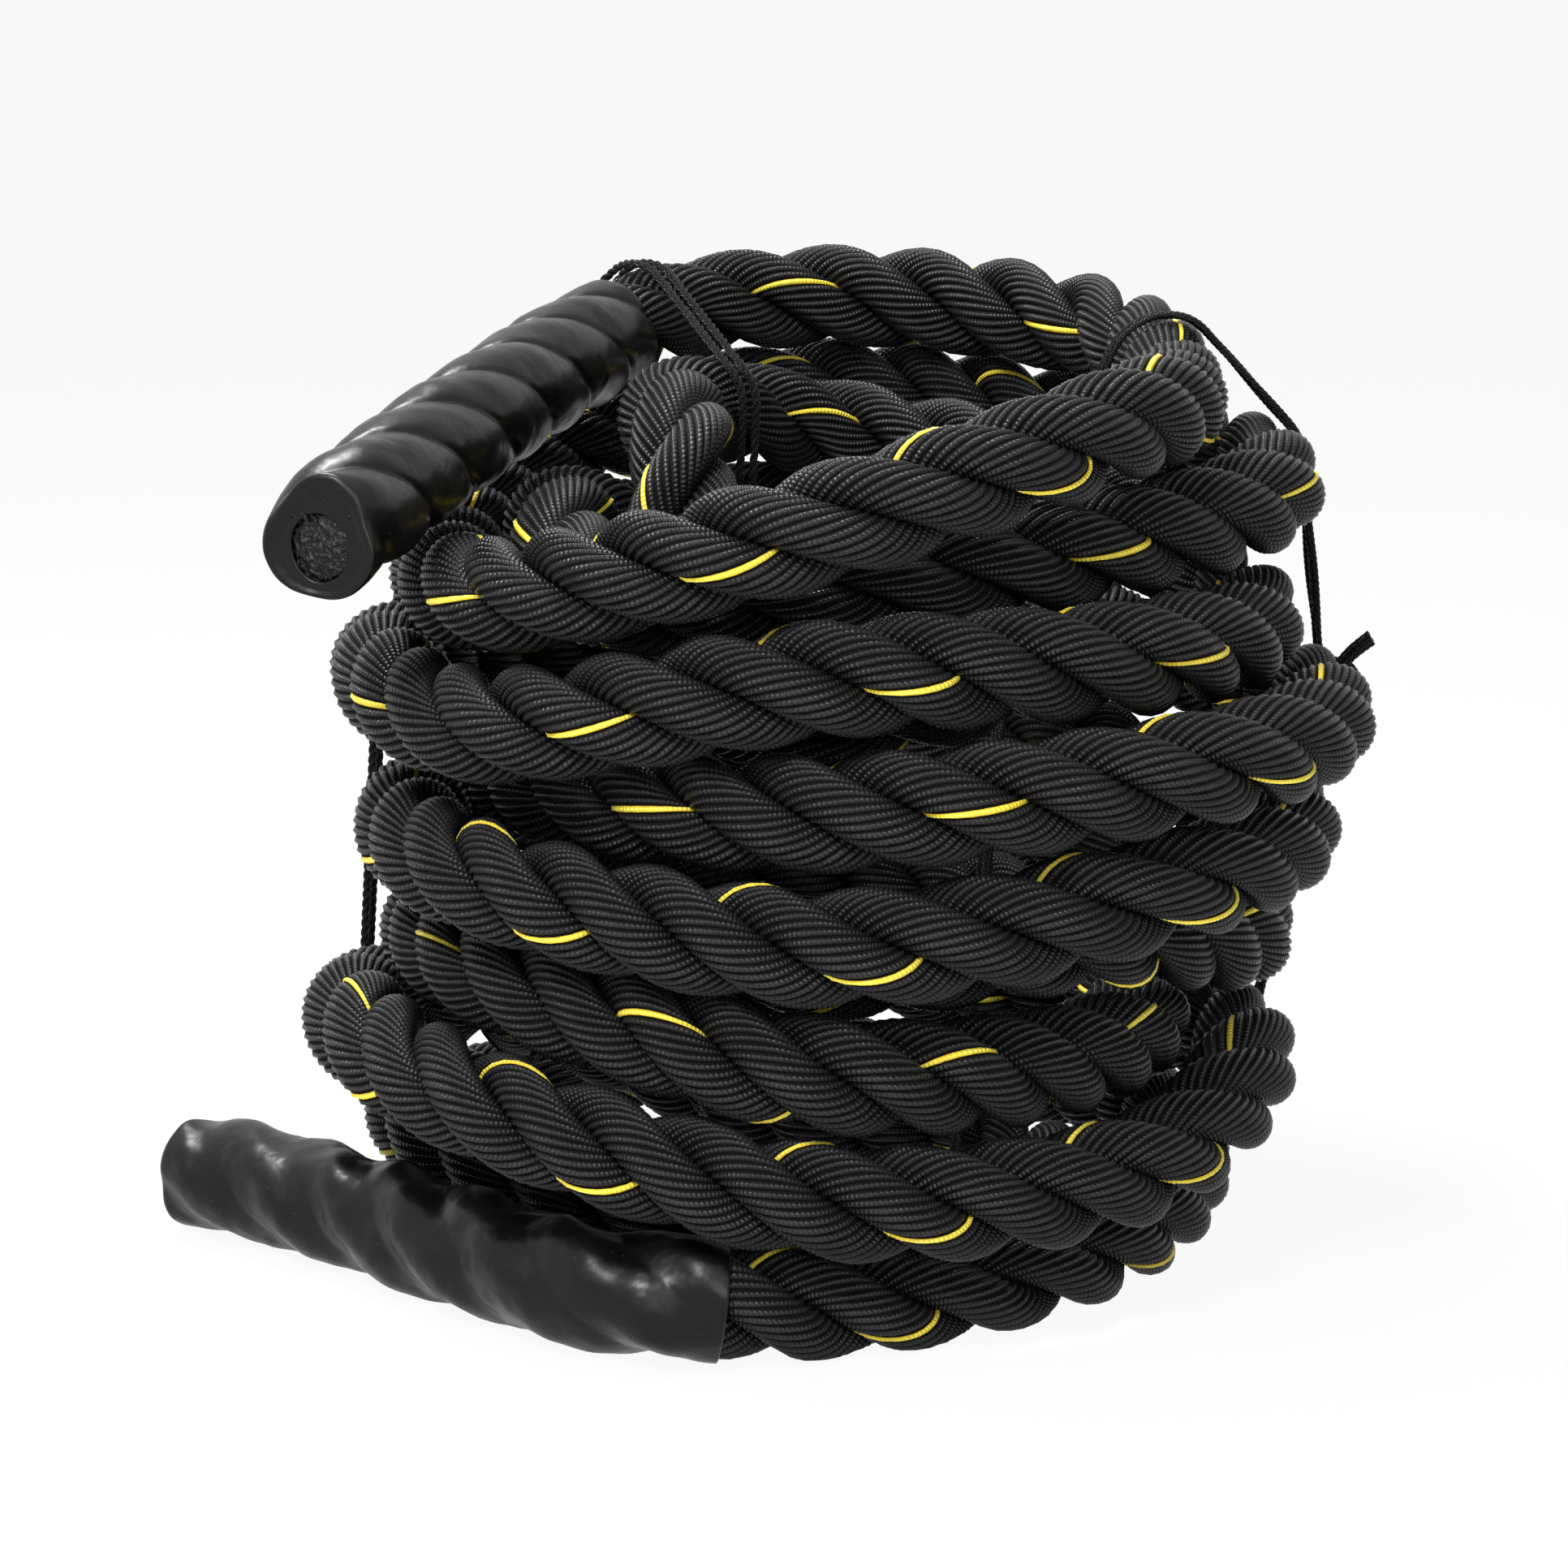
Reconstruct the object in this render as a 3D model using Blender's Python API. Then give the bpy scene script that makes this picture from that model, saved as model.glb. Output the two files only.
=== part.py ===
"""Battle rope: one length of heavy three-strand training rope, tied up in a standing coil.

Each end of the rope is a grip.  There its strands are drawn together under a shrunk plastic
sleeve, which follows their three lobes and folds in over the cut end.  Two ties hold the
coil: a thin cord wound twice round its left side, and a flat strand of loose yarns round
its right side.  The rope is drawn as a plain tube, without its lay.

Metres, +Z up.  The coil stands on z = 0 with its front towards -Y.  The origin is the middle
of the underside of the whole object.
"""
import math

import bmesh
import bpy
import numpy as np

# Driving dimensions
rope_diameter = 0.038
rope_lay = 0.104
turn_gap = 0.0024
sleeve_wall = 0.0018
upper_grip_length = 0.247
lower_grip_length = 0.243
grip_neck_length = 0.010
grip_fold_length = 0.012
grip_end_wall = 0.0022
grip_opening = 0.0188
tie_cord_diameter = 0.003
tie_strand_width = 0.008
tie_strand_thickness = 0.0032
tie_wrap_gap = 0.0022
tie_tail_length = 0.018
fit_clearance = 0.0003
cut_overrun = 0.008

# What follows from them
rope_radius = rope_diameter / 2
flat_share = 0.1
floor_height = rope_radius - flat_share * rope_diameter
sleeve_radius = rope_radius + sleeve_wall
groove_share = 0.86
groove_radius = sleeve_radius * groove_share
grip_height = sleeve_radius + fit_clearance
grip_end_share = 0.62
weld_distance = fit_clearance / 10

# Counts
stations_per_turn = 8
points_per_station = 3
fine_points_per_station = 24
core_rings = 20
sleeve_rings = 48
sides_per_lobe = 6
tie_points_per_loop = 40
strand_sides = 10
knot_points = 24
tail_points = 3
sharp_angle = 50

# Where the rope's middle lies, chosen by eye, in rope diameters: how far from the coil's
# axis and how high, at eight stations a turn.  A turn starts at the back and goes to the
# right, the front and the left, and each row is a turn, from the top one down.
turn_shares = (
    ((4.00, 8.30), (3.74, 8.10), (3.12, 7.74), (3.50, 7.76),
     (4.00, 7.15), (3.85, 6.35), (3.40, 6.28), (3.95, 6.80)),
    ((4.45, 7.34), (4.12, 7.08), (4.02, 6.90), (3.18, 6.68),
     (3.10, 6.50), (2.75, 6.25), (2.40, 6.60), (2.30, 6.25)),
    ((3.35, 6.30), (2.65, 5.65), (2.55, 5.60), (2.65, 5.65),
     (2.85, 5.40), (1.80, 5.50), (1.30, 7.20), (1.95, 7.45)),
    ((2.65, 7.15), (2.70, 6.80), (3.80, 5.80), (3.92, 5.86),
     (3.95, 5.85), (4.10, 5.30), (3.97, 5.38), (3.95, 5.00)),
    ((3.90, 4.92), (3.95, 4.95), (4.42, 4.95), (4.52, 5.00),
     (3.95, 4.75), (3.20, 4.55), (2.80, 4.30), (2.75, 4.20)),
    ((2.85, 4.05), (3.30, 4.12), (4.14, 3.90), (4.29, 3.94),
     (4.15, 3.65), (4.20, 4.00), (3.70, 3.95), (3.70, 3.46)),
    ((3.70, 3.30), (3.85, 3.05), (3.88, 2.85), (3.40, 3.32),
     (3.03, 3.22), (2.65, 2.95), (2.50, 2.90), (2.65, 2.75)),
    ((2.75, 2.70), (2.80, 2.50), (2.88, 2.14), (3.28, 2.30),
     (4.00, 2.54), (3.80, 2.96), (3.60, 2.88), (3.68, 2.44)),
    ((3.75, 1.64), (3.75, 1.44), (3.84, 1.74), (3.82, 1.40),
     (4.08, 1.48), (4.30, 2.10), (4.30, 2.10), (3.90, 1.30)),
    ((1.90, 0.42), (1.95, 0.40), (2.12, 0.40), (2.15, 0.40),
     (2.46, 0.40), (2.75, 0.66), (3.72, 1.00), (4.48, 0.40)),
    ((4.32, 0.40), (4.20, 0.40), (3.25, 0.40), (3.02, 0.40), (3.60, 0.40)),
)

# The leads to the grips, in rope diameters from the coil's axis: the upper one from its cut
# end to the top turn, and the lower one, along the floor, from the last turn to its cut end
upper_lead_shares = (
    (-4.22, -3.30, 6.92),
    (-3.15, -0.20, 7.55),
    (-2.33, 2.05, 7.93),
    (-1.90, 3.00, 8.07),
    (-1.20, 3.75, 8.22),
)
lower_lead_shares = (
    (-1.05, -3.90),
    (-1.95, -3.60),
    (-2.90, -2.75),
    (-4.20, -1.40),
    (-5.86, -0.08),
)

# The coil's axis, in rope diameters from the origin
axis_shares = (0.472, -0.146, 0.0)

# How the turns settle on each other: the number of passes, the points tested a station, and
# how far a pass moves a station apart from its neighbours and back to its chosen place
settle_passes = 260
settle_points_per_station = 4
spread_share = 0.2
hold_share = 0.006

# Where each tie crosses the coil: degrees from the back round to the right, at directions
# round the bundle of turns in degrees, from outward over the top, inward and underneath
left_tie_crossings = ((10, -70), (15, -50), (36, -50), (42, -29), (90, -28), (150, -24),
                      (178, -24), (187, -31), (194, -66))
right_tie_crossings = ((-8, 62), (0, 76), (163, 76), (170, 62))
left_knot_direction = 25
right_knot_direction = 0
knot_cord_share = 0.8
knot_height_share = 1.4
knot_spacing_share = 1.5
tail_rise_share = 0.65
tail_lean_share = 0.4

up = np.array([0, 0, 1])


def route_points(controls, places):
    """Points of the smooth curve through the controls.  A place is a control's number."""
    runs = np.linalg.norm(np.diff(controls, axis=0), axis=1)[:, None]
    slopes = np.diff(controls, axis=0) / runs
    tangents = np.empty_like(controls)
    tangents[0], tangents[-1] = slopes[0], slopes[-1]
    before, after = runs[:-1], runs[1:]
    tangents[1:-1] = (slopes[:-1] * after + slopes[1:] * before) / (before + after)
    index = np.minimum(places.astype(int), len(controls) - 2)
    u = (places - index)[:, None]
    run = runs[index]
    return ((2 * u**3 - 3 * u**2 + 1) * controls[index]
            + (u**3 - 2 * u**2 + u) * run * tangents[index]
            + (3 * u**2 - 2 * u**3) * controls[index + 1]
            + (u**3 - u**2) * run * tangents[index + 1])


def running_length(points):
    """How far along the line each point lies."""
    runs = np.linalg.norm(np.diff(points, axis=0), axis=1)
    return np.concatenate([[0], np.cumsum(runs)])


def settled_controls():
    """The rope's route as control points, with its turns pushed a diameter and a gap apart."""
    chosen = np.array([pair for row in turn_shares for pair in row]) * rope_diameter
    angles = np.arange(len(chosen)) * math.tau / stations_per_turn
    outward = np.stack([np.sin(angles), np.cos(angles)], axis=1)
    upper = np.array(upper_lead_shares) * rope_diameter
    lower = np.array([(x * rope_diameter, y * rope_diameter, grip_height)
                      for x, y in lower_lead_shares])
    first, last = len(upper), len(upper) + len(chosen)
    count = last + len(lower)
    places = np.linspace(0, count - 1, (count - 1) * settle_points_per_station + 1)
    weights = np.clip(1 - np.abs(places[:, None] - np.arange(count)), 0, None)
    in_sleeve = (places < first - 1) | (places > last)
    room = (rope_diameter + turn_gap) / 2 + np.where(in_sleeve, sleeve_wall, 0)
    same_stretch = np.abs(places[:, None] - places) < stations_per_turn / 3
    out_of_reach = same_stretch * rope_diameter * stations_per_turn
    radii, heights = chosen.T.copy()
    for settle_pass in range(settle_passes):
        turns = np.column_stack([outward * radii[:, None], heights])
        points = route_points(np.concatenate([upper, turns, lower]), places)
        apart = points[:, None] - points
        distance = np.linalg.norm(apart, axis=2) + out_of_reach
        overlap = np.clip(room[:, None] + room - distance, 0, None)
        push = ((overlap / distance)[:, :, None] * apart).sum(axis=1)
        push = spread_share * (weights.T @ push)[first:last]
        hold = hold_share * (1 - settle_pass / settle_passes)
        radii += (push[:, :2] * outward).sum(axis=1) + hold * (chosen[:, 0] - radii)
        heights += push[:, 2] + hold * (chosen[:, 1] - heights)
        heights = np.maximum(heights, floor_height)
    turns = np.column_stack([outward * radii[:, None], heights])
    return np.concatenate([upper, turns, lower])


class Route:
    """The rope's settled route from the upper cut end to the lower one, about the coil's axis."""

    def __init__(self):
        self.controls = settled_controls()
        self.intervals = len(self.controls) - 1
        fine = self.intervals * fine_points_per_station
        self.fine_places = np.linspace(0, self.intervals, fine + 1)
        self.fine_points = route_points(self.controls, self.fine_places)
        self.fine_lengths = running_length(self.fine_points)
        self.length = self.fine_lengths[-1]

    def points_at(self, lengths, from_lower_end=False):
        """Points at stated lengths from an end of the rope."""
        lengths = np.asarray(lengths)
        if from_lower_end:
            lengths = self.length - lengths
        places = np.interp(lengths, self.fine_lengths, self.fine_places)
        return route_points(self.controls, places)

    def coil_points(self, start, stop):
        """The points of the turns that lie between two lengths from the upper end."""
        places = np.arange(self.intervals * points_per_station + 1) / points_per_station
        lengths = np.interp(places, self.fine_places, self.fine_lengths)
        between = (lengths > start) & (lengths < stop)
        return route_points(self.controls, places[between])


def folded(lengths):
    """A grip's width near its cut end, as a share of its full width."""
    depth = 1 - np.clip(np.asarray(lengths) / grip_fold_length, 0, 1)
    return grip_end_share + (1 - grip_end_share) * np.sqrt(1 - depth**2)


def core_radii(lengths):
    """The rope's radius where it lies inside a sleeve."""
    return groove_radius * folded(lengths) - sleeve_wall - fit_clearance


def core_lengths(grip_length):
    """Where the rope's points lie inside a sleeve, from the sleeve's folded end."""
    run = np.linspace(grip_fold_length, grip_length + sleeve_wall, core_rings)
    return np.concatenate([[grip_end_wall + fit_clearance, grip_fold_length / 2], run])


def finish(name, colour, roughness):
    """A plain material."""
    material = bpy.data.materials.new(name)
    material.use_nodes = True
    shader = material.node_tree.nodes["Principled BSDF"]
    shader.inputs["Base Color"].default_value = (*colour, 1)
    shader.inputs["Roughness"].default_value = roughness
    shader.inputs["Metallic"].default_value = 0
    return material


def hide(guide):
    """Mark a cutter or a guide, which is no part of the object."""
    guide.hide_render = True
    guide.display_type = "WIRE"


def outline(name, points):
    """A closed flat outline that a swept piece takes as its section."""
    curve = bpy.data.curves.new(name, "CURVE")
    spline = curve.splines.new("POLY")
    spline.points.add(len(points) - 1)
    for spline_point, (x, y) in zip(spline.points, points):
        spline_point.co = (x, y, 0, 1)
    spline.use_cyclic_u = True
    guide = bpy.data.objects.new(name, curve)
    cutters.objects.link(guide)
    hide(guide)
    return guide


def sweep(name, collection, points, widths, sides=None, section=None, turns=None, closed=False):
    """A capped solid along the points: round, or with an outline for its section.

    A width is the radius of a round section, and else the scale of its outline.
    """
    curve = bpy.data.curves.new(name, "CURVE")
    curve.dimensions = "3D"
    curve.use_fill_caps = not closed
    if section is None:
        curve.twist_mode = "Z_UP"
        curve.bevel_depth = 1
        curve.bevel_resolution = sides // 2 - 2
    else:
        curve.twist_mode = "MINIMUM"
        curve.bevel_mode = "OBJECT"
        curve.bevel_object = section
    spline = curve.splines.new("POLY")
    spline.points.add(len(points) - 1)
    spline.use_cyclic_u = closed
    turns = np.zeros(len(points)) if turns is None else turns
    for spline_point, point, width, turn in zip(spline.points, points, widths, turns):
        spline_point.co = (*(point + axis), 1)
        spline_point.radius = width
        spline_point.tilt = turn * math.tau
    path = bpy.data.objects.new(name + "_path", curve)
    collection.objects.link(path)
    graph = bpy.context.evaluated_depsgraph_get()
    mesh = bpy.data.meshes.new_from_object(path.evaluated_get(graph))
    bpy.data.objects.remove(path)
    work = bmesh.new()
    work.from_mesh(mesh)
    bmesh.ops.remove_doubles(work, verts=work.verts, dist=weld_distance)
    bmesh.ops.recalc_face_normals(work, faces=work.faces)
    work.to_mesh(mesh)
    work.free()
    mesh.name = name
    piece = bpy.data.objects.new(name, mesh)
    collection.objects.link(piece)
    if collection is cutters:
        hide(piece)
    return piece


def combine(piece, other, operation):
    """Cut the other solid out of the piece, or join it on."""
    modifier = piece.modifiers.new(other.name, "BOOLEAN")
    modifier.operation = operation
    modifier.object = other


def dress(piece, material):
    piece.data.materials.clear()
    piece.data.materials.append(material)
    piece.data.shade_smooth()
    piece.data.set_sharp_from_angle(angle=math.radians(sharp_angle))


def least_gap(points, width, same_stretch):
    """The least gap between two stretches of one tube, measured along its straight runs."""
    steps = np.linspace(0, len(points) - 1, (len(points) - 1) * sides_per_lobe + 1)
    index = np.minimum(steps.astype(int), len(points) - 2)
    line = points[index] + (points[index + 1] - points[index]) * (steps - index)[:, None]
    along = running_length(line)
    least = math.inf
    for point, length in zip(line, along):
        others = line[np.abs(along - length) > same_stretch]
        least = min(least, np.linalg.norm(others - point, axis=1).min())
    return least - width


def make_rope():
    """The rope: one unbroken tube from cut end to cut end, narrower inside its two sleeves."""
    upper = core_lengths(upper_grip_length)
    lower = core_lengths(lower_grip_length)
    upper_neck = upper_grip_length + grip_neck_length
    lower_neck = lower_grip_length + grip_neck_length
    station_run = rope_radius
    coil = route.coil_points(upper_neck + station_run, route.length - lower_neck - station_run)
    points = np.concatenate([
        route.points_at(upper),
        route.points_at([upper_neck]),
        coil,
        route.points_at([lower_neck], True),
        route.points_at(lower[::-1], True),
    ])
    free = np.full(len(coil) + 2, rope_radius)
    widths = np.concatenate([core_radii(upper), free, core_radii(lower[::-1])])
    print("rope: length", round(running_length(points)[-1], 3), "m, least gap to itself",
          round(least_gap(points, rope_diameter, rope_diameter * 3) * 1000, 2), "mm")
    return sweep("rope", parts, points, widths, sides=6)


def make_floor_cutter():
    """A block under the floor, which cuts the rope flat where the coil stands on it."""
    low = route.fine_points.min(axis=0) - rope_diameter
    high = route.fine_points.max(axis=0) + rope_diameter
    bpy.ops.mesh.primitive_cube_add(size=1)
    block = bpy.context.object
    block.name = "floor_cutter"
    block.scale = (*(high - low)[:2], rope_diameter)
    block.location = (*((high + low) / 2 + axis)[:2], -rope_radius)
    for home in list(block.users_collection):
        home.objects.unlink(block)
    cutters.objects.link(block)
    hide(block)
    return block


def make_sleeve(name, grip_length, from_lower_end):
    """A grip's shrunk sleeve: three lobes that turn with the strands, folded in at the end."""
    lobe_angles = np.linspace(0, math.tau, 3 * sides_per_lobe, endpoint=False)
    middle, swing = (sleeve_radius + groove_radius) / 2, (sleeve_radius - groove_radius) / 2
    lobe_radii = middle + swing * np.cos(3 * lobe_angles)
    lobes = outline(name + "_lobes", np.stack([lobe_radii * np.cos(lobe_angles),
                                               lobe_radii * np.sin(lobe_angles)], axis=1))
    fold = grip_fold_length * (1 - np.cos(np.linspace(0, math.pi / 2, sides_per_lobe)))
    run = np.linspace(grip_fold_length, grip_length, sleeve_rings)
    rings = np.concatenate([fold[:-1], run])
    sleeve = sweep(name, parts, route.points_at(rings, from_lower_end), folded(rings),
                   section=lobes, turns=rings / rope_lay)

    inner = core_lengths(grip_length)
    inner[0] = grip_end_wall
    beyond = grip_length + cut_overrun
    bore_points = route.points_at(np.append(inner, beyond), from_lower_end)
    bore_widths = core_radii(np.append(inner, grip_length)) + fit_clearance / math.cos(math.pi / 6)
    combine(sleeve, sweep(name + "_bore", cutters, bore_points, bore_widths, sides=6),
            "DIFFERENCE")

    end, inward = route.points_at([0, grip_fold_length], from_lower_end)
    inward = (inward - end) / np.linalg.norm(inward - end)
    opening_points = [end - inward * cut_overrun, end + inward * (grip_end_wall + fit_clearance)]
    combine(sleeve, sweep(name + "_opening", cutters, opening_points,
                          [grip_opening / 2] * 2, sides=12), "DIFFERENCE")
    return sleeve


def tie_loop(crossings, knot_direction, width, thickness):
    """A tie's loop, pulled tight over the turns: its points, the way outward from the bundle
    at each, and the way along the turns there.
    """
    bare = ((route.fine_lengths > upper_grip_length)
            & (route.fine_lengths < route.length - lower_grip_length))
    middle = route.fine_points[bare]
    lift = thickness / 2 + 2 * fit_clearance
    directions = knot_direction + np.arange(tie_points_per_loop) * 360 / tie_points_per_loop
    angles = np.interp(directions, *np.transpose(crossings), period=360)
    points, normals, alongs = [], [], []
    for direction, angle in zip(np.radians(directions), np.radians(angles)):
        outward = np.array([math.sin(angle), math.cos(angle), 0])
        along = np.array([math.cos(angle), -math.sin(angle), 0])
        normal = outward * math.cos(direction) + up * math.sin(direction)
        aside = np.clip(np.abs(middle @ along) - width / 2, 0, rope_radius)
        reach = np.sqrt(rope_radius**2 - aside**2)
        bearing = np.where((aside < rope_radius) & (middle @ outward > 0),
                           middle @ normal + reach, -math.inf)
        best = bearing.argmax()
        point = middle[best] - along * (middle[best] @ along) + normal * (reach[best] + lift)
        point[2] = max(point[2], (thickness + fit_clearance) / 2)
        if points and np.linalg.norm(point - points[-1]) < thickness:
            continue
        points.append(point)
        normals.append(normal)
        alongs.append(along)
    return np.array(points), np.array(normals), np.array(alongs)


def unit(vectors):
    return vectors / np.linalg.norm(vectors, axis=-1, keepdims=True)


def tie_winding(points, normals, alongs, wraps, spacing):
    """The loop wound a number of times, each wrap beside the last, with a loose tail each end:
    its points, and the way outward from the bundle at each.
    """
    ahead = unit(np.roll(points, -1, axis=0) - points)
    stretch = 1 / np.sqrt(1 - (ahead * alongs).sum(axis=1, keepdims=True)**2)
    sideways = alongs * (stretch + np.roll(stretch, 1, axis=0)) / 2
    count = wraps * len(points)
    number = np.arange(count + 1)
    place = number % len(points)
    shifts = (number / count - 1 / 2) * wraps * spacing
    winding = points[place] + sideways[place] * shifts[:, None]
    onward = unit(ahead[0] + ahead[-1])
    steps = np.linspace(0, 1, tail_points + 1)[1:, None]
    run = steps * tie_tail_length
    rise = run * steps * tail_rise_share * normals[0]
    lean = run * tail_lean_share * alongs[0]
    first_tail = winding[0] - run * onward + rise - lean
    last_tail = winding[-1] + run * onward + rise + lean
    tail_normals = np.repeat(normals[:1], tail_points, axis=0)
    return (np.concatenate([first_tail[::-1], winding, last_tail]),
            np.concatenate([tail_normals, normals[place], tail_normals]))


def flat_turns(points, normals, section):
    """How far a flat section turns at each point so that its thin side faces the bundle."""
    trial = sweep("trial_strand", cutters, points, np.ones(len(points)), section=section)
    corners = np.array([vertex.co for vertex in trial.data.vertices]) - axis
    bpy.data.objects.remove(trial)
    nearest = np.linalg.norm(corners[:, None] - points, axis=2).argmin(axis=0)
    thin_ways = corners[nearest] - points
    ahead = unit(np.gradient(points, axis=0))
    sine = (np.cross(thin_ways, normals) * ahead).sum(axis=1)
    cosine = (thin_ways * normals).sum(axis=1)
    return np.unwrap(np.arctan2(sine, cosine), period=math.pi) / math.tau


def make_knot(name, point, normal, onward, diameter):
    """The knot that joins a tie's ends: a cord that passes three times through itself."""
    cord = diameter * knot_cord_share
    scale = (cord + tie_wrap_gap) / knot_spacing_share
    turn = np.linspace(0, math.tau, knot_points, endpoint=False)[:, None]
    lift = scale * knot_height_share + cord / 2 - diameter / 2
    points = point + scale * (
        (np.sin(turn) + 2 * np.sin(2 * turn)) * onward
        + (np.cos(turn) - 2 * np.cos(2 * turn)) * np.cross(normal, onward)
        - np.sin(3 * turn) * knot_height_share * normal) + normal * lift
    return sweep(name, cutters, points, [cord / 2] * knot_points, sides=8, closed=True)


def make_tie(name, crossings, knot_direction, wraps, width, thickness, section):
    """A tie and the fatter copy of it that presses its groove into the rope."""
    loop, normals, alongs = tie_loop(crossings, knot_direction, width, thickness)
    onward = unit(loop[1] - loop[-1])
    knot = make_knot(name + "_knot", loop[0], normals[0], onward, thickness)
    points, normals = tie_winding(loop, normals, alongs, wraps, width + tie_wrap_gap)
    widths = np.full(len(points), 1.0 if section else thickness / 2)
    turns = flat_turns(points, normals, section) if section else None
    print(name + ": length", round(running_length(points)[-1], 3), "m, least gap to itself",
          round(least_gap(points, width, width * 4) * 1000, 2), "mm")
    tie = sweep(name, parts, points, widths, sides=8, section=section, turns=turns)
    combine(tie, knot, "UNION")
    widths *= 1 + 2 * fit_clearance / thickness
    groove = sweep(name + "_groove", cutters, points, widths, sides=8, section=section, turns=turns)
    return tie, groove


for old_object in list(bpy.data.objects):
    bpy.data.objects.remove(old_object)
parts = bpy.data.collections.new("battle_rope")
cutters = bpy.data.collections.new("cutters")
bpy.context.scene.collection.children.link(parts)
bpy.context.scene.collection.children.link(cutters)

axis = np.array(axis_shares) * rope_diameter
route = Route()

yarn = finish("black_polyester_rope", (0.022, 0.022, 0.024), 0.62)
plastic = finish("black_shrink_sleeve", (0.030, 0.030, 0.031), 0.34)
cord = finish("black_tie_cord", (0.028, 0.028, 0.030), 0.70)

rope = make_rope()
combine(rope, make_floor_cutter(), "DIFFERENCE")
upper_sleeve = make_sleeve("upper_grip_sleeve", upper_grip_length, False)
lower_sleeve = make_sleeve("lower_grip_sleeve", lower_grip_length, True)
left_tie, left_groove = make_tie("left_tie_cord", left_tie_crossings, left_knot_direction, 2,
                                 tie_cord_diameter, tie_cord_diameter, None)
strand_angles = np.linspace(0, math.tau, strand_sides, endpoint=False)
strand_section = outline("strand_section", np.stack([
    np.cos(strand_angles) * tie_strand_thickness / 2,
    np.sin(strand_angles) * tie_strand_width / 2], axis=1))
right_tie, right_groove = make_tie("right_tie_strand", right_tie_crossings, right_knot_direction,
                                   1, tie_strand_width, tie_strand_thickness, strand_section)
combine(rope, left_groove, "DIFFERENCE")
combine(rope, right_groove, "DIFFERENCE")
for piece, material in ((rope, yarn), (upper_sleeve, plastic), (lower_sleeve, plastic),
                        (left_tie, cord), (right_tie, cord)):
    dress(piece, material)
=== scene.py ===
"""A battle rope, tied up in a standing coil, as photographed in a white studio.

Metres, +Z up.  The coil stands on z = 0 with its front towards -Y.
"""

import math

import bmesh
import bpy
import numpy as np
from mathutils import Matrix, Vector, noise


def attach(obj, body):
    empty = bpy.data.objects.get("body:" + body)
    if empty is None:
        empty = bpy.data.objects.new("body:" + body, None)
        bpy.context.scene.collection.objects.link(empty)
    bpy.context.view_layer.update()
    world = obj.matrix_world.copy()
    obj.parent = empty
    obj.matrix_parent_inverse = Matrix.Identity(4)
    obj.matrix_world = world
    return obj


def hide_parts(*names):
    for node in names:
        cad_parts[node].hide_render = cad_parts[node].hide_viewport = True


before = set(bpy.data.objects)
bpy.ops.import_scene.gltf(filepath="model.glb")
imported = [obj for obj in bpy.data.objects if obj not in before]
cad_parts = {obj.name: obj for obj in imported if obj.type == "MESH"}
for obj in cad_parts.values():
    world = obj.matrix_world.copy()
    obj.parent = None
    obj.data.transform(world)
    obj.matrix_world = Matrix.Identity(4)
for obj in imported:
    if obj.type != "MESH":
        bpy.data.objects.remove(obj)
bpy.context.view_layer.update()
scene = bpy.context.scene
scene.view_settings.view_transform = "Standard"


# ------------------------------ the view
# The photograph was taken a metre and a half in front of the coil, a little above its top,
# looking 11.5 degrees down.  The picture is square, 1932 pixels a side.
rope_diameter = 0.038
up = np.array([0, 0, 1])
axis = np.array([0.472, -0.146, 0.0]) * rope_diameter
picture_side = 1932
focal_pixels = 5200
view_pitch = math.radians(11.5)
view_point = axis + np.array([-0.014, -1.440, 0.452])


def placed(name, data):
    """A new object in the scene."""
    new = bpy.data.objects.new(name, data)
    scene.collection.objects.link(new)
    return new


camera_data = bpy.data.cameras.new("studio_camera")
camera_data.sensor_width = 36
camera_data.lens = camera_data.sensor_width * focal_pixels / picture_side
camera = placed("studio_camera", camera_data)
camera.location = view_point
camera.rotation_euler = (math.pi / 2 - view_pitch, 0, 0)
scene.camera = camera


# ------------------------------ the rope
# 9.3 m of black three-strand polyester rope, 38 mm thick, right-hand laid.  It is wound down
# in ten and a half turns that lie over, under and beside each other.  Each strand is a bundle
# of fourteen outer yarns, which cross it the other way; one yarn of one strand is yellow.
turn_gap = 0.0024
sleeve_wall = 0.0018
fit_clearance = 0.0003
floor_height = rope_diameter * 0.4
grip_height = rope_diameter / 2 + sleeve_wall + fit_clearance
upper_grip_length = 0.247
lower_grip_length = 0.243
stations_per_turn = 8

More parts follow.
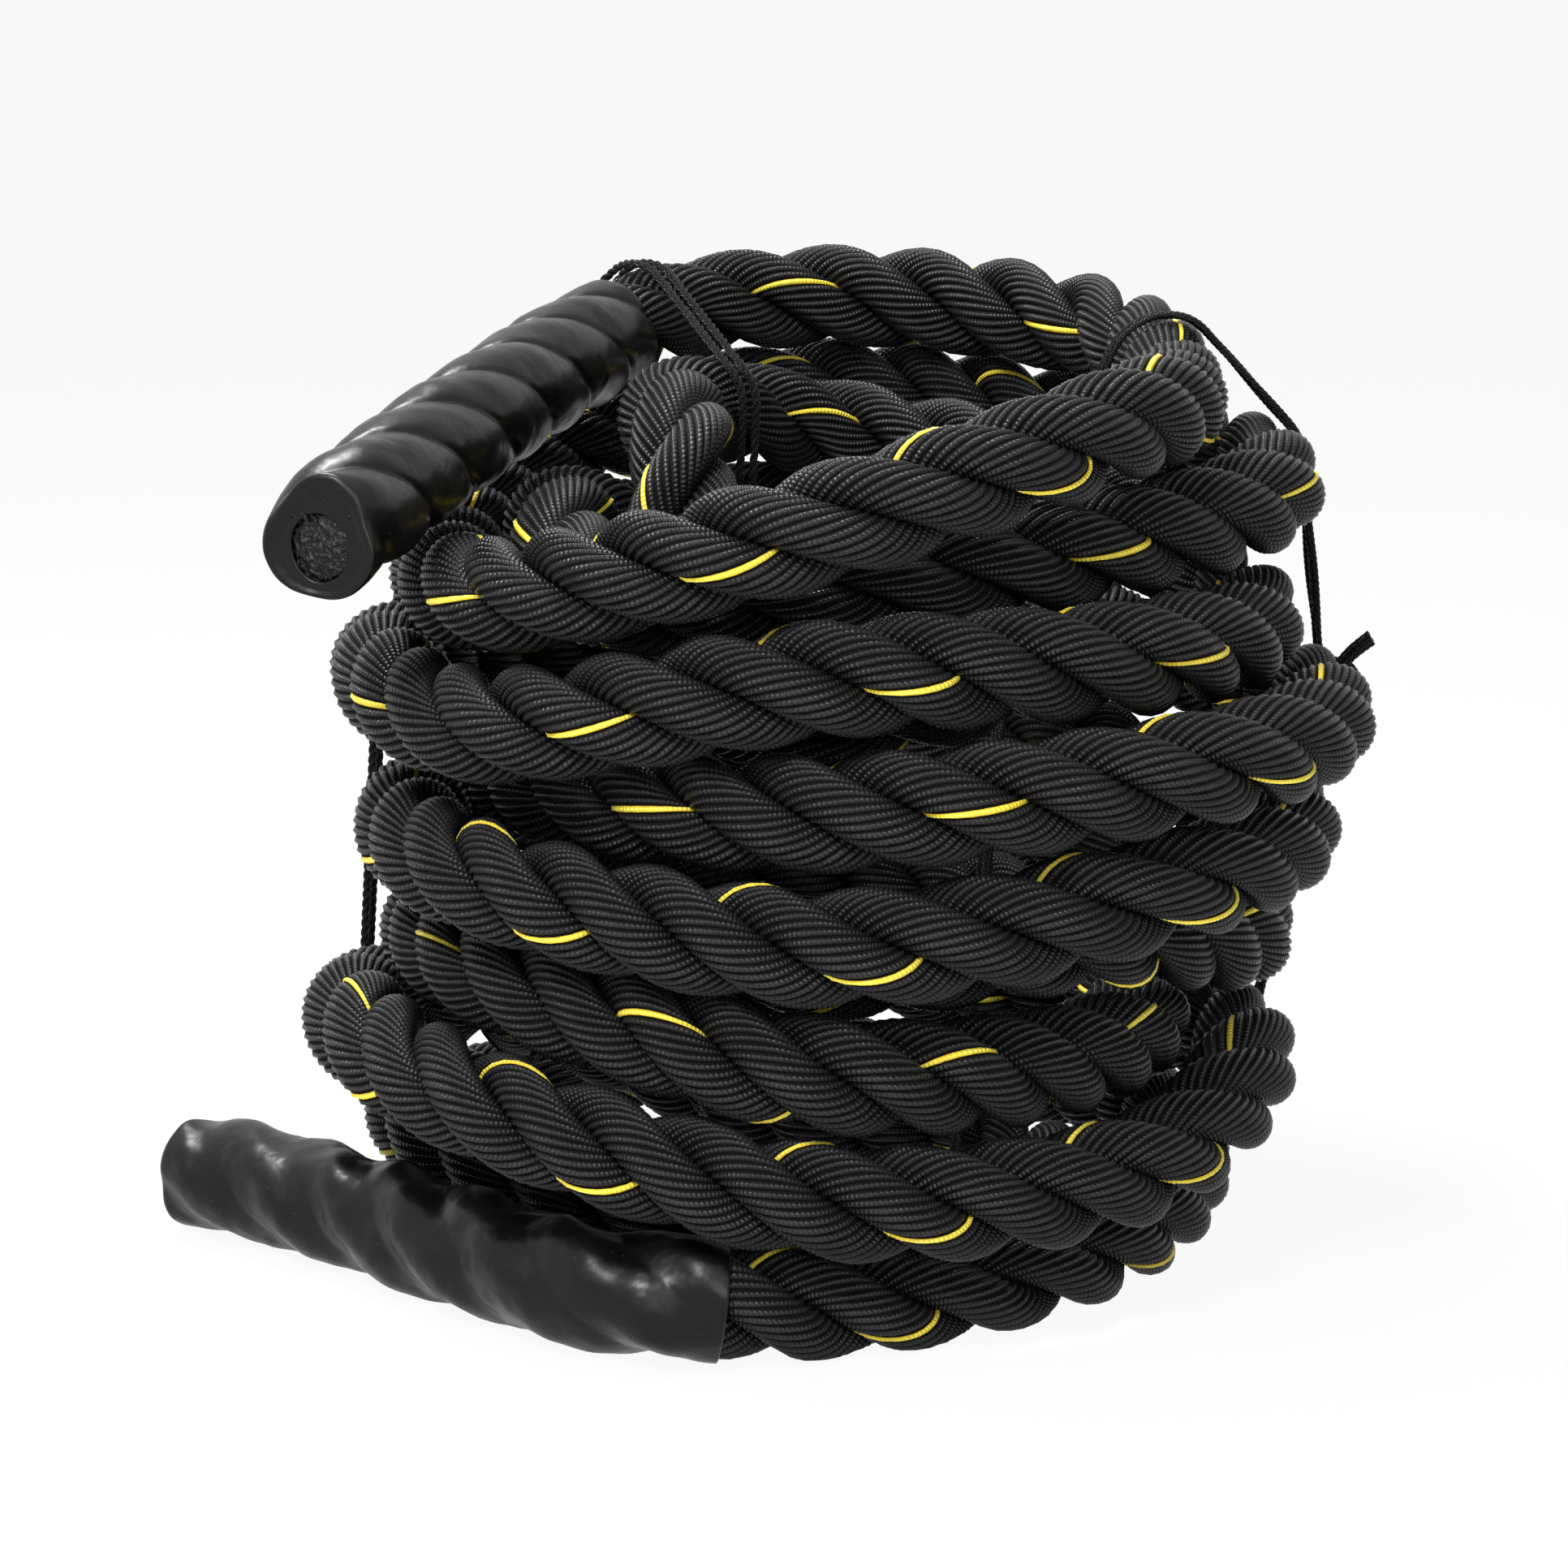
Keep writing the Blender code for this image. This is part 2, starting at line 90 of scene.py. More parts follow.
# How far from the coil's axis and how high the rope's middle lies, in rope diameters, at
# eight stations a turn.  A turn starts at the back and goes to the right, front and left.
turn_shares = (
    ((4.00, 8.30), (3.74, 8.10), (3.12, 7.74), (3.50, 7.76),
     (4.00, 7.15), (3.85, 6.35), (3.40, 6.28), (3.95, 6.80)),
    ((4.45, 7.34), (4.12, 7.08), (4.02, 6.90), (3.18, 6.68),
     (3.10, 6.50), (2.75, 6.25), (2.40, 6.60), (2.30, 6.25)),
    ((3.35, 6.30), (2.65, 5.65), (2.55, 5.60), (2.65, 5.65),
     (2.85, 5.40), (1.80, 5.50), (1.30, 7.20), (1.95, 7.45)),
    ((2.65, 7.15), (2.70, 6.80), (3.80, 5.80), (3.92, 5.86),
     (3.95, 5.85), (4.10, 5.30), (3.97, 5.38), (3.95, 5.00)),
    ((3.90, 4.92), (3.95, 4.95), (4.42, 4.95), (4.52, 5.00),
     (3.95, 4.75), (3.20, 4.55), (2.80, 4.30), (2.75, 4.20)),
    ((2.85, 4.05), (3.30, 4.12), (4.14, 3.90), (4.29, 3.94),
     (4.15, 3.65), (4.20, 4.00), (3.70, 3.95), (3.70, 3.46)),
    ((3.70, 3.30), (3.85, 3.05), (3.88, 2.85), (3.40, 3.32),
     (3.03, 3.22), (2.65, 2.95), (2.50, 2.90), (2.65, 2.75)),
    ((2.75, 2.70), (2.80, 2.50), (2.88, 2.14), (3.28, 2.30),
     (4.00, 2.54), (3.80, 2.96), (3.60, 2.88), (3.68, 2.44)),
    ((3.75, 1.64), (3.75, 1.44), (3.84, 1.74), (3.82, 1.40),
     (4.08, 1.48), (4.30, 2.10), (4.30, 2.10), (3.90, 1.30)),
    ((1.90, 0.42), (1.95, 0.40), (2.12, 0.40), (2.15, 0.40),
     (2.46, 0.40), (2.75, 0.66), (3.72, 1.00), (4.48, 0.40)),
    ((4.32, 0.40), (4.20, 0.40), (3.25, 0.40), (3.02, 0.40), (3.60, 0.40)),
)
# The leads to the grips, in rope diameters from the coil's axis
upper_lead_shares = (
    (-4.22, -3.30, 6.92),
    (-3.15, -0.20, 7.55),
    (-2.33, 2.05, 7.93),
    (-1.90, 3.00, 8.07),
    (-1.20, 3.75, 8.22),
)
lower_lead_shares = (
    (-1.05, -3.90),
    (-1.95, -3.60),
    (-2.90, -2.75),
    (-4.20, -1.40),
    (-5.86, -0.08),
)


def route_points(controls, places):
    """Points of the smooth curve through the controls.  A place is a control's number."""
    runs = np.linalg.norm(np.diff(controls, axis=0), axis=1)[:, None]
    slopes = np.diff(controls, axis=0) / runs
    tangents = np.empty_like(controls)
    tangents[0], tangents[-1] = slopes[0], slopes[-1]
    before, after = runs[:-1], runs[1:]
    tangents[1:-1] = (slopes[:-1] * after + slopes[1:] * before) / (before + after)
    index = np.minimum(places.astype(int), len(controls) - 2)
    u = (places - index)[:, None]
    run = runs[index]
    return ((2 * u**3 - 3 * u**2 + 1) * controls[index]
            + (u**3 - 2 * u**2 + u) * run * tangents[index]
            + (3 * u**2 - 2 * u**3) * controls[index + 1]
            + (u**3 - u**2) * run * tangents[index + 1])


def settled_controls():
    """The rope's route as control points, with its turns pushed a diameter and a gap apart."""
    chosen = np.array([pair for row in turn_shares for pair in row]) * rope_diameter
    angles = np.arange(len(chosen)) * math.tau / stations_per_turn
    outward = np.stack([np.sin(angles), np.cos(angles)], axis=1)
    upper = np.array(upper_lead_shares) * rope_diameter
    lower = np.array([(x * rope_diameter, y * rope_diameter, grip_height)
                      for x, y in lower_lead_shares])
    first, last = len(upper), len(upper) + len(chosen)
    count = last + len(lower)
    places_per_run = 4
    places = np.linspace(0, count - 1, (count - 1) * places_per_run + 1)
    weights = np.clip(1 - np.abs(places[:, None] - np.arange(count)), 0, None)
    in_sleeve = (places < first - 1) | (places > last)
    room = (rope_diameter + turn_gap) / 2 + np.where(in_sleeve, sleeve_wall, 0)
    same_stretch = np.abs(places[:, None] - places) < stations_per_turn / 3
    out_of_reach = same_stretch * rope_diameter * stations_per_turn
    rounds, push_share, hold_share = 260, 0.2, 0.006
    radii, heights = chosen.T.copy()
    for share_done in np.arange(rounds) / rounds:
        turns = np.column_stack([outward * radii[:, None], heights])
        points = route_points(np.concatenate([upper, turns, lower]), places)
        apart = points[:, None] - points
        distance = np.linalg.norm(apart, axis=2) + out_of_reach
        overlap = np.clip(room[:, None] + room - distance, 0, None)
        shoved = ((overlap / distance)[:, :, None] * apart).sum(axis=1)
        push = push_share * (weights.T @ shoved)[first:last]
        hold = hold_share * (1 - share_done)
        radii += (push[:, :2] * outward).sum(axis=1) + hold * (chosen[:, 0] - radii)
        heights += push[:, 2] + hold * (chosen[:, 1] - heights)
        heights = np.maximum(heights, floor_height)
    turns = np.column_stack([outward * radii[:, None], heights])
    return np.concatenate([upper, turns, lower]) + axis


def unit(vectors):
    return vectors / np.linalg.norm(vectors, axis=-1, keepdims=True)


def along_line(points):
    """How far along the line each point lies."""
    runs = np.linalg.norm(np.diff(points, axis=0), axis=1)
    return np.concatenate([[0], np.cumsum(runs)])


def even_points(points, step, *others):
    """The line's points again at even steps, with any values that go with them."""
    lengths = along_line(points)
    even = np.linspace(0, lengths[-1], round(lengths[-1] / step) + 1)
    columns = np.column_stack([points, *others])
    return even, np.stack([np.interp(even, lengths, column) for column in columns.T], axis=1)


def steady_sides(points, tangents, first_side):
    """A sideways direction at each point that turns about the line as little as it can."""
    sides = [first_side]
    for step, before, after in zip(np.diff(points, axis=0), tangents, tangents[1:]):
        mirrored = sides[-1] - 2 * (sides[-1] @ step) / (step @ step) * step
        turned = before - 2 * (before @ step) / (step @ step) * step
        rest = after - turned
        if rest @ rest > 1e-12:
            mirrored = mirrored - 2 * (mirrored @ rest) / (rest @ rest) * rest
        sides.append(mirrored)
    return unit(np.array(sides))


controls = settled_controls()
places_per_run = 48
places = np.linspace(0, len(controls) - 1, (len(controls) - 1) * places_per_run + 1)
ring_step = 0.0027
rope_lengths, rope_points = even_points(route_points(controls, places), ring_step)
rope_length = rope_lengths[-1]
rope_ahead = unit(np.gradient(rope_points, axis=0))
first_side = unit(np.cross(rope_ahead[0], up))
rope_sides = steady_sides(rope_points, rope_ahead, first_side)

strand_radius = 0.0090
crown_proud = 0.0003
strand_centre = rope_diameter / 2 - strand_radius + crown_proud
yarns_per_strand = 14
yarn_groove = 0.0011

# The lay: how often the strands have gone round the rope at each point, and their yarns round
# them, so that the yellow yarn comes up where the photograph shows it, at these pixels.  Play is
# how many turns each may stray between two knots; a mark counts by its miss up to a limit.
rope_lay = 0.106
lower_grip_lay = 0.120
yarn_turns_per_lay = 2.93
tracer_middle = 1 / (2 * yarns_per_strand)
helix = math.atan(math.tau * strand_centre / rope_lay)
knot_run = 0.06
levels = 48
turns_tried = np.arange(levels) / levels
strand_play, yarn_play = 0.05, 0.14
strand_tries, yarn_tries = 4, 6
mark_slide, mark_miss, mark_limit = 0.014, 0.003, 16
tracer_marks = (
    (965, 340), (1258, 400), (905, 437), (993, 452), (1205, 442), (1290, 480), (1015, 512),
    (740, 513), (790, 585), (650, 650), (1115, 553), (1430, 476), (1465, 408), (1305, 608),
    (885, 687), (1435, 680), (543, 730), (1606, 592), (1202, 772), (1460, 830), (905, 802),
    (1090, 878), (680, 920), (450, 873), (603, 820), (1245, 985), (825, 995), (1547, 995),
    (473, 1045), (615, 1022), (895, 1090), (1295, 1065), (657, 1158), (1055, 1197),
    (1440, 1138), (1390, 1238), (515, 1155), (1020, 1245), (1562, 1098), (1512, 1245),
    (418, 1213), (810, 1268), (1218, 1315), (620, 1315), (437, 1345), (958, 1378),
    (990, 1413), (1350, 1390), (1478, 1425), (727, 1458), (1145, 1527), (960, 1550),
    (1138, 1627))


def across(turns):
    """Directions across the rope, as pairs, at turns round it."""
    return np.stack([np.cos(math.tau * turns), np.sin(math.tau * turns)], axis=-1)


def seen_on_rope(pixel):
    """Where a pixel's line of sight meets the rope: how far along it, and the turn round it."""
    right, down = (np.array(pixel) - picture_side / 2) / focal_pixels
    rise, dip = math.sin(view_pitch), math.cos(view_pitch)
    sight = unit(np.array([right, dip - down * rise, -rise - down * dip]))
    reach = rope_points - view_point
    depth = reach @ sight
    aside = np.linalg.norm(reach - depth[:, None] * sight, axis=1) * 2 / rope_diameter
    near = depth - np.sqrt(np.maximum(1 - aside**2, 0)) * rope_diameter / 2
    too_far = 10
    near += np.where(aside > 1, aside * too_far, 0)
    best = near.argmin()
    outward = view_point + sight * depth[best] - rope_points[best]
    outward -= sight * math.sqrt(max(1 - aside[best]**2, 0)) * rope_diameter / 2
    side, ahead = rope_sides[best], rope_ahead[best]
    turn = math.atan2(np.cross(ahead, side) @ outward, side @ outward) / math.tau
    return rope_lengths[best], turn


seen_lengths, seen_turns = np.array(sorted(map(seen_on_rope, tracer_marks))).T


def misfit(place):
    """How far the yellow yarn passes from the marks that are nearest to a knot, for each turn
    that strand and yarn may have made there.
    """
    close = np.abs(seen_lengths - place) <= knot_run / 2
    shifts = np.linspace(-mark_slide, mark_slide, 15)[:, None]
    steps = (seen_lengths[close] + shifts - place) / rope_lay
    strand = turns_tried[:, None, None, None] + steps
    yarn = tracer_middle - turns_tried[:, None, None] - steps * yarn_turns_per_lay
    reach, swing = strand_radius * across(yarn)[..., 0], strand_radius * across(yarn)[..., 1]
    found = ((strand_centre + reach)[..., None] * across(strand)
             + (swing * math.cos(helix))[..., None] * across(strand + 0.25))
    marked = rope_diameter / 2 * across(seen_turns[close])
    apart = ((found - marked)**2).sum(axis=-1) + (shifts - swing * math.sin(helix))**2
    return np.minimum(apart.min(axis=-2) / mark_miss**2, mark_limit).sum(axis=-1)


# The likeliest course from knot to knot: of all turns that strand and yarn may have made at
# each, those that pass the marks with the steadiest lay
knots = np.arange(0, rope_length, knot_run)
cost, choices = misfit(knots[0]), []
for place in knots[1:]:
    lay = lower_grip_lay if place > rope_length - lower_grip_length else rope_lay
    step = knot_run / lay * levels
    least, choice = np.full(cost.shape, math.inf), np.zeros((*cost.shape, 2), int)
    for strand_step in range(round(step) - strand_tries, round(step) + strand_tries + 1):
        strand_strain = ((strand_step - step) / levels / strand_play)**2
        even = strand_step * yarn_turns_per_lay
        for yarn_step in range(round(even) - yarn_tries, round(even) + yarn_tries + 1):
            yarn_strain = ((yarn_step - even) / levels / yarn_play)**2
            moved = np.roll(cost, (strand_step, yarn_step), (0, 1)) + strand_strain + yarn_strain
            better = moved < least
            least = np.where(better, moved, least)
            choice[better] = strand_step, yarn_step
    cost = least + misfit(place)
    choices.append(choice)
state = np.array(np.unravel_index(cost.argmin(), cost.shape))
course = [state]
for choice in reversed(choices):
    step = choice[tuple(state % levels)]
    state = state - step
    course.append(state)
knot_turns, knot_yarn_turns = np.array(course[::-1]).T / levels


def eased(values):
    """The knots' values all along the rope, with their changes of pace spread out."""
    straight = np.interp(rope_lengths, knots, values)
    beyond = rope_lengths > knots[-1]
    straight[beyond] += (rope_lengths[beyond] - knots[-1]) * (values[-1] - values[-2]) / knot_run
    reach = 20
    kernel = np.hanning(2 * reach + 1)
    before = 2 * straight[0] - straight[reach:0:-1]
    after = 2 * straight[-1] - straight[-2:-reach - 2:-1]
    extended = np.concatenate([before, straight, after])
    return np.convolve(extended, kernel / kernel.sum(), mode="valid")


lay_turns, yarn_turns = eased(knot_turns), eased(knot_yarn_turns)


def add(tree, kind, inputs=(), **settings):
    """Adds a node.  Its inputs, by name or number, are values, or nodes or sockets to link."""
    new = tree.nodes.new(kind)
    for name, value in settings.items():
        setattr(new, name, value)
    for name, value in dict(inputs).items():
        if isinstance(value, bpy.types.Node):
            value = value.outputs[0]
        if isinstance(value, bpy.types.NodeSocket):
            tree.links.new(value, new.inputs[name])
        else:
            new.inputs[name].default_value = value
    return new


def laid_strand_tree():
    """Sweeps a ribbed strand round a line.  Points of the line carry the way ahead, a way
    sideways, the turns that strand and yarns have made and the thickness there.
    """
    tree = bpy.data.node_groups.new("laid_strand", "GeometryNodeTree")
    for name, kind in (("Geometry", "Geometry"), ("Start turn", "Float"), ("Centre", "Float"),
                       ("Radius", "Float"), ("Yarns", "Int"), ("Groove", "Float"),
                       ("Material", "Material")):
        tree.interface.new_socket(name, in_out="INPUT", socket_type="NodeSocket" + kind)
    tree.interface.new_socket("Geometry", in_out="OUTPUT", socket_type="NodeSocketGeometry")
    given = add(tree, "NodeGroupInput").outputs
    side, ahead, outward, turns, yarn_turns, thickness = (
        add(tree, "GeometryNodeInputNamedAttribute", {"Name": name},
            data_type=kind).outputs["Attribute"]
        for kind, names in (("FLOAT_VECTOR", ("side", "ahead", "outward")),
                            ("FLOAT", ("turns", "yarn_turns", "thickness")))
        for name in names)

    # The strand's own line, which winds round the rope's, with its yarns' twist as its tilt
    line = add(tree, "GeometryNodeMeshToCurve", {0: given["Geometry"]})
    turn = add(tree, "ShaderNodeMath", {0: turns, 1: given["Start turn"]}, operation="ADD")
    angle = add(tree, "ShaderNodeMath", {0: turn, 1: math.tau}, operation="MULTIPLY")
    turned = add(tree, "ShaderNodeVectorRotate", {
        "Vector": side, "Axis": ahead, "Angle": angle}, rotation_type="AXIS_ANGLE")
    reach = add(tree, "ShaderNodeMath", {0: given["Centre"], 1: thickness},
                operation="MULTIPLY")
    offset = add(tree, "ShaderNodeVectorMath", {0: turned, "Scale": reach}, operation="SCALE")
    kept = add(tree, "GeometryNodeStoreNamedAttribute", {
        "Geometry": line, "Name": "outward", "Value": turned},
        data_type="FLOAT_VECTOR", domain="POINT")
    moved = add(tree, "GeometryNodeSetPosition", {"Geometry": kept, "Offset": offset})
    faced = add(tree, "GeometryNodeSetCurveNormal", {
        "Curve": moved, "Normal": outward}, mode="FREE")
    twist = add(tree, "ShaderNodeMath", {0: yarn_turns, 1: -math.tau}, operation="MULTIPLY")
    wrung = add(tree, "GeometryNodeSetCurveTilt", {"Curve": faced, "Tilt": twist})
    sized = add(tree, "GeometryNodeSetCurveRadius", {"Curve": wrung, "Radius": thickness})

    # Its round section, with a crown and a groove for each yarn
    columns = add(tree, "ShaderNodeMath", {0: given["Yarns"], 1: 2}, operation="MULTIPLY")
    circle = add(tree, "GeometryNodeCurvePrimitiveCircle", {
        "Resolution": columns, "Radius": given["Radius"]})
    number = add(tree, "GeometryNodeInputIndex")
    odd = add(tree, "ShaderNodeMath", {0: number, 1: 2}, operation="MODULO")
    valley = add(tree, "ShaderNodeMath", {0: odd, 1: 1}, operation="SUBTRACT")
    depth = add(tree, "ShaderNodeMath", {0: valley, 1: given["Groove"]}, operation="MULTIPLY")
    place = add(tree, "GeometryNodeInputPosition")
    ray = add(tree, "ShaderNodeVectorMath", {0: place}, operation="NORMALIZE")
    sunk = add(tree, "ShaderNodeVectorMath", {0: ray, "Scale": depth}, operation="SCALE")
    ribbed = add(tree, "GeometryNodeSetPosition", {"Geometry": circle, "Offset": sunk})
    counted = add(tree, "GeometryNodeStoreNamedAttribute", {
        "Geometry": ribbed, "Name": "column", "Value": number},
        data_type="FLOAT", domain="POINT")

    tube = add(tree, "GeometryNodeCurveToMesh", {
        "Curve": sized, "Profile Curve": counted, "Fill Caps": True})
    smooth = add(tree, "GeometryNodeSetShadeSmooth", {"Geometry": tube})
    real = add(tree, "GeometryNodeRealizeInstances", {"Geometry": smooth})
    done = add(tree, "GeometryNodeSetMaterial", {
        "Geometry": real, "Material": given["Material"]})
    add(tree, "NodeGroupOutput", {0: done})
    return tree


strand_tree = laid_strand_tree()


def made_by(tree, name, line, attributes, values):
    """A plain mesh object that a Geometry Nodes tree makes of a line of points."""
    mesh = bpy.data.meshes.new(name + "_line")
    mesh.from_pydata(line, [(i, i + 1) for i in range(len(line) - 1)], [])
    for key, numbers in attributes.items():
        vectors = np.ndim(numbers) == 2
        kind, field = ("FLOAT_VECTOR", "vector") if vectors else ("FLOAT", "value")
        attribute = mesh.attributes.new(key, kind, "POINT")
        attribute.data.foreach_set(field, np.asarray(numbers, np.float32).ravel())
    guide = placed(name + "_line", mesh)
    modifier = guide.modifiers.new(tree.name, "NODES")
    modifier.node_group = tree
    for item in tree.interface.items_tree:
        if item.in_out == "INPUT" and item.name in values:
            modifier[item.identifier] = values[item.name]
    graph = bpy.context.evaluated_depsgraph_get()
    result = bpy.data.meshes.new_from_object(guide.evaluated_get(graph))
    bpy.data.objects.remove(guide)
    result.name = name
    return placed(name, result)


def numbers_of(mesh, name):
    """One number of each of a mesh's points, as an array."""
    values = np.empty(len(mesh.vertices), np.float32)
    mesh.attributes[name].data.foreach_get("value", values)
    return values


def map_yarns(mesh, yarns):
    """A UV map that runs once round the strand and in metres along it.  Returns each face's
    column of the strand, of which a yarn has two.
    """
    columns = 2 * yarns
    loop_points = np.empty(len(mesh.loops), np.int32)
    mesh.loops.foreach_get("vertex_index", loop_points)
    around = numbers_of(mesh, "column")[loop_points]
    along = numbers_of(mesh, "along")[loop_points]
    starts = np.empty(len(mesh.polygons), np.int32)
    mesh.polygons.foreach_get("loop_start", starts)
    lowest = np.minimum.reduceat(around, starts)
    highest = np.maximum.reduceat(around, starts)
    sizes = np.diff(np.append(starts, len(around)))
    last_column = np.repeat((highest - lowest > 1) & (sizes == 4), sizes)
    around = np.where(last_column & (around == 0), columns, around)
    layer = mesh.uv_layers.new(name="yarns")
    layer.uv.foreach_set("vector", np.stack([around / columns, along], axis=1).ravel())
    return np.where(highest - lowest > 1, highest, lowest)


def press_on_floor(mesh):
    """Flattens what would reach into the floor, as the rope's weight does."""
    places = np.empty(len(mesh.vertices) * 3, np.float32)
    mesh.vertices.foreach_get("co", places)
    places = places.reshape(-1, 3)
    softness, highest = 0.0008, 0.01
    lifted = np.logaddexp(0, (places[:, 2] - fit_clearance) / softness) * softness
    places[:, 2] = np.where(places[:, 2] < highest, lifted + fit_clearance, places[:, 2])
    mesh.vertices.foreach_set("co", places.ravel())
    mesh.update()


def linear(hex_colour):
    """An sRGB hex colour as linear red, green, blue and alpha."""
    shares = np.array([int(hex_colour[i:i + 2], 16) for i in (1, 3, 5)]) / 255
    return (*np.where(shares <= 0.04045, shares / 12.92, ((shares + 0.055) / 1.055)**2.4), 1)


def new_material(name):
    """An empty material and its tree."""
    material = bpy.data.materials.new(name)
    material.use_nodes = True
    material.node_tree.nodes.clear()
    return material, material.node_tree


def yarn_material(name, body, light, yarns, bead, square_run, painted_shade_edge):
    """Spun polyester yarn, twisted from finer threads: rounded, glossier on its crowns, where a
    silky grey sheen is also painted, and painted black as shade between the yarns.  Its beads are
    drawn coarser than the threads that make them.
    Bead: their spacing along the rope.  Square run: how much further along one side of a yarn
    lies where a bead crosses it squarely.  Edge: the share of the crown's height up to which the
    yarn's edges are painted black as shade, where its neighbours would hide it.
    """
    material, tree = new_material(name)
    uv = add(tree, "ShaderNodeUVMap", uv_map="yarns")
    split = add(tree, "ShaderNodeSeparateXYZ", {0: uv}).outputs
    round_strand = add(tree, "ShaderNodeMath", {0: split["X"], 1: yarns}, operation="MULTIPLY")
    across = add(tree, "ShaderNodeMath", {0: round_strand}, operation="FRACT")
    rest = add(tree, "ShaderNodeMath", {0: 1, 1: across}, operation="SUBTRACT")
    arch = add(tree, "ShaderNodeMath", {0: across, 1: rest}, operation="MULTIPLY")
    crown = add(tree, "ShaderNodeMath", {0: arch, 1: 4}, operation="MULTIPLY")
    along = add(tree, "ShaderNodeMath", {0: across, 1: -square_run, 2: split["Y"]},
                operation="MULTIPLY_ADD")
    phase = add(tree, "ShaderNodeMath", {0: along, 1: math.tau / bead}, operation="MULTIPLY")
    wave = add(tree, "ShaderNodeMath", {0: phase}, operation="SINE")
    beads = add(tree, "ShaderNodeMath", {0: wave, 1: 0.5, 2: 0.5}, operation="MULTIPLY_ADD")
    threads = add(tree, "ShaderNodeMath", {0: beads, 1: crown}, operation="MULTIPLY")
    height = add(tree, "ShaderNodeMath", {0: threads, 1: 0.22, 2: crown},
                 operation="MULTIPLY_ADD")
    bump = add(tree, "ShaderNodeBump", {"Strength": 1.0, "Distance": 0.0013, "Height": height})

    # Painted sheen: lighter on crowns and beads, stronger or weaker in random patches about 17 mm
    # wide
    place = add(tree, "ShaderNodeTexCoord").outputs["Object"]
    uneven = add(tree, "ShaderNodeTexNoise", {"Vector": place, "Scale": 60, "Detail": 3})
    patches = add(tree, "ShaderNodeMath", {0: uneven, 1: 1.4, 2: 0.3},
                  operation="MULTIPLY_ADD")
    plain = add(tree, "ShaderNodeMath", {0: crown, 1: 0.4}, operation="MULTIPLY")
    beaded = add(tree, "ShaderNodeMath", {0: threads, 1: 0.6, 2: plain},
                 operation="MULTIPLY_ADD")
    lit = add(tree, "ShaderNodeMath", {0: crown, 1: beaded}, operation="MULTIPLY")
    shade = add(tree, "ShaderNodeMath", {0: lit, 1: patches}, operation="MULTIPLY")
    colour = add(tree, "ShaderNodeMix", {
        0: shade, 6: linear(body), 7: linear(light)}, data_type="RGBA").outputs[2]
    # Painted shade: the yarn's edges, where the grooves between yarns lie, are painted black.
    edge = add(tree, "ShaderNodeMapRange", {
        "Value": crown, "From Min": painted_shade_edge, "From Max": painted_shade_edge + 0.15})
    colour = add(tree, "ShaderNodeMix", {
        0: edge, 6: linear("#010101"), 7: colour}, data_type="RGBA").outputs[2]
    rough = add(tree, "ShaderNodeMapRange", {
        "Value": crown, "From Max": 0.9, "To Min": 1.0, "To Max": 0.27})
    shader = add(tree, "ShaderNodeBsdfPrincipled", {
        "Base Color": colour, "Roughness": rough, "IOR": 1.5, "Specular IOR Level": 0.20,
        "Normal": bump})
    add(tree, "ShaderNodeOutputMaterial", {"Surface": shader})
    return material


# Dope-dyed black polyester, spun and loosely twisted: almost black, glossier on the yarns'
# crowns, with a silky grey sheen painted on them as well.
black_yarn = yarn_material("black_polyester_yarn", "#010101", "#2E2E30", yarns_per_strand,
                           bead=0.0009, square_run=0.0015, painted_shade_edge=0.0)
# The tracer yarn is the same yarn in bright yellow, with the same painted sheen; more of its
# edges are painted black as shade, so that it shows narrower than the others.
yellow_yarn = yarn_material("yellow_tracer_yarn", "#FFD000", "#FFF870", yarns_per_strand,
                            bead=0.0009, square_run=0.0015, painted_shade_edge=0.45)

# Inside the sleeves the rope is squeezed a little, and its cut ends are drawn in: the share
# of its thickness at lengths from an end.  Its strands stop two steps short, where it is melted.
from_end = np.minimum(rope_lengths, rope_length - rope_lengths)
thickness = np.interp(from_end, (0, 0.004, 0.016, 0.23), (0.45, 0.62, 0.93, 0.94))
past_sleeves = np.minimum(rope_lengths - upper_grip_length,
                          rope_length - lower_grip_length - rope_lengths)
mouth_cover, most_inside = 0.004, 0.95
thickness = np.where(past_sleeves > -mouth_cover, 1.0, np.minimum(thickness, most_inside))
kernel = np.ones(5) / 5
thickness = np.convolve(np.pad(thickness, 2, mode="edge"), kernel, mode="valid")

inside = slice(2, -2)
rope_line = {"ahead": rope_ahead[inside], "side": rope_sides[inside],
             "turns": lay_turns[inside], "yarn_turns": yarn_turns[inside],
             "along": rope_lengths[inside], "thickness": thickness[inside]}
for number in range(3):
    strand = made_by(strand_tree, f"rope_strand_{number + 1}", rope_points[inside], rope_line, {
        "Start turn": number / 3, "Centre": strand_centre, "Radius": strand_radius,
        "Yarns": yarns_per_strand, "Groove": yarn_groove, "Material": black_yarn})
    column = map_yarns(strand.data, yarns_per_strand)
    if number == 0:
        strand.data.materials.append(yellow_yarn)
        strand.data.polygons.foreach_set("material_index", (column < 2).astype(np.int32))
    press_on_floor(strand.data)
    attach(strand, "root")
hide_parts("rope")


# ------------------------------ the grips
# Each end of the rope is a grip: a tube of black heat-shrink plastic, shrunk on hot so that it
# follows the three strands and draws in over the cut end, where it leaves a round opening.
# The upper one is drawn tight; the lower one went on cooler and kept broad soft dents.
lobe_crown = rope_diameter / 2 + sleeve_wall
lobe_height = 0.0034
end_lobe_height = 0.0068
crease_depth = 0.0007
wave_depth = 0.0025
crease_width = math.radians(7)
columns_round = 120
opening_radius = 0.0108
film = sleeve_wall * 0.7
sleeve_ring_step = 0.0018


